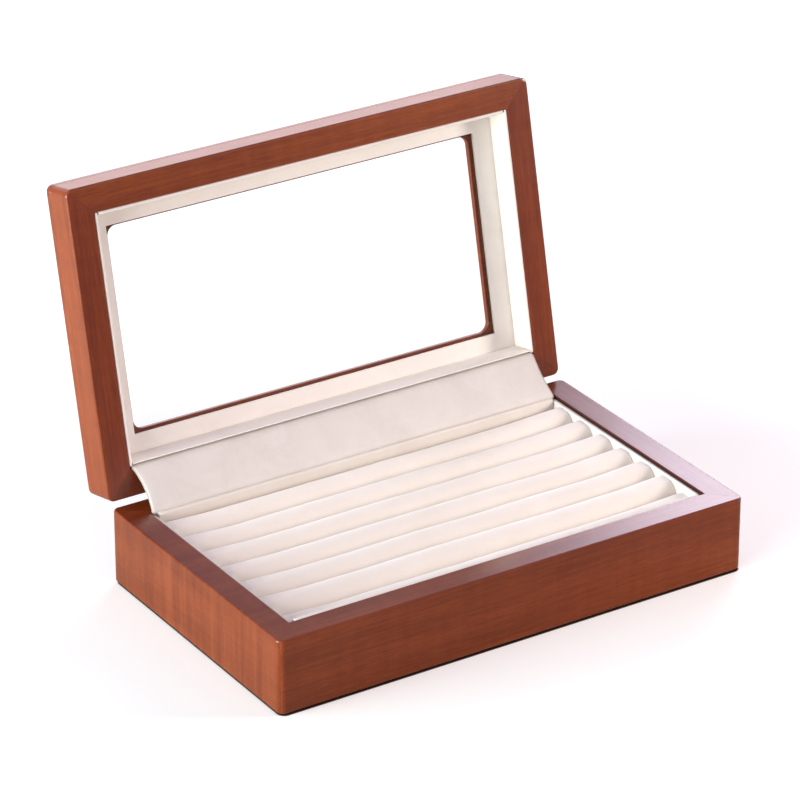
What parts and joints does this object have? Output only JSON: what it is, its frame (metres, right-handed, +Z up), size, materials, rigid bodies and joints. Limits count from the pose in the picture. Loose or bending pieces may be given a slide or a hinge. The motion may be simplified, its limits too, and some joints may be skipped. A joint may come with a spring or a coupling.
{
  "type": "glass-topped cufflink and ring box",
  "caption": "Hinged wooden box with a glass window in its lid and suede-covered foam rolls that hold cufflinks and rings.",
  "frame": {"origin": "centre of the underside of the base's felt pad", "axes": "+X to the right along the hinge, +Y to the back, +Z up"},
  "size_m": [0.265, 0.212, 0.1945],
  "materials": {
    "cherry_lacquer": "glossy cherry stain under clear lacquer, fine straight grain",
    "panel_board": "stained board, satin",
    "window_glass": "clear float glass",
    "lining_suede": "cream imitation suede, matt with a fine nap",
    "roll_suede": "cream imitation suede over foam",
    "flap_suede": "cream imitation suede, slightly greyer",
    "felt": "dark pressed felt",
    "card": "raw pressed board",
    "hinge_brass": "satin",
    "hinge_steel": "bright"
  },
  "bodies": {
    "base": {"base_front_wall": "cherry_lacquer", "base_back_wall": "cherry_lacquer", "base_left_wall": "cherry_lacquer", "base_right_wall": "cherry_lacquer", "base_bottom_panel": "panel_board", "base_felt_pad": "felt", "base_liner_front": "lining_suede", "base_liner_back": "lining_suede", "base_liner_left": "lining_suede", "base_liner_right": "lining_suede", "tray_board": "card", "ring_roll_1": "roll_suede", "ring_roll_2": "roll_suede", "ring_roll_3": "roll_suede", "ring_roll_4": "roll_suede", "ring_roll_5": "roll_suede", "ring_roll_6": "roll_suede", "ring_roll_7": "roll_suede", "hinge_flap": "flap_suede", "hinge_leaf_base_left": "hinge_brass", "hinge_leaf_base_right": "hinge_brass", "hinge_pin_left": "hinge_steel", "hinge_pin_right": "hinge_steel", "hinge_screw_base_left_1": "hinge_steel", "hinge_screw_base_left_2": "hinge_steel", "hinge_screw_base_right_1": "hinge_steel", "hinge_screw_base_right_2": "hinge_steel"},
    "lid": {"lid_front_wall": "cherry_lacquer", "lid_back_wall": "cherry_lacquer", "lid_left_wall": "cherry_lacquer", "lid_right_wall": "cherry_lacquer", "lid_window_frame": "cherry_lacquer", "glass_pane": "window_glass", "lid_mat_frame": "lining_suede", "lid_liner_front": "lining_suede", "lid_liner_back": "lining_suede", "lid_liner_left": "lining_suede", "lid_liner_right": "lining_suede", "hinge_leaf_lid_left": "hinge_brass", "hinge_leaf_lid_right": "hinge_brass", "hinge_screw_lid_left_1": "hinge_steel", "hinge_screw_lid_left_2": "hinge_steel", "hinge_screw_lid_right_1": "hinge_steel", "hinge_screw_lid_right_2": "hinge_steel"}
  },
  "joints": [
    {"name": "lid_hinge", "type": "hinge", "parent": "base", "child": "lid", "pos_m": [0, 0.07975, 0.0404], "axis": [1, 0, 0], "range_deg": [0, 102.4], "deforming": ["hinge_flap"]}
  ]
}
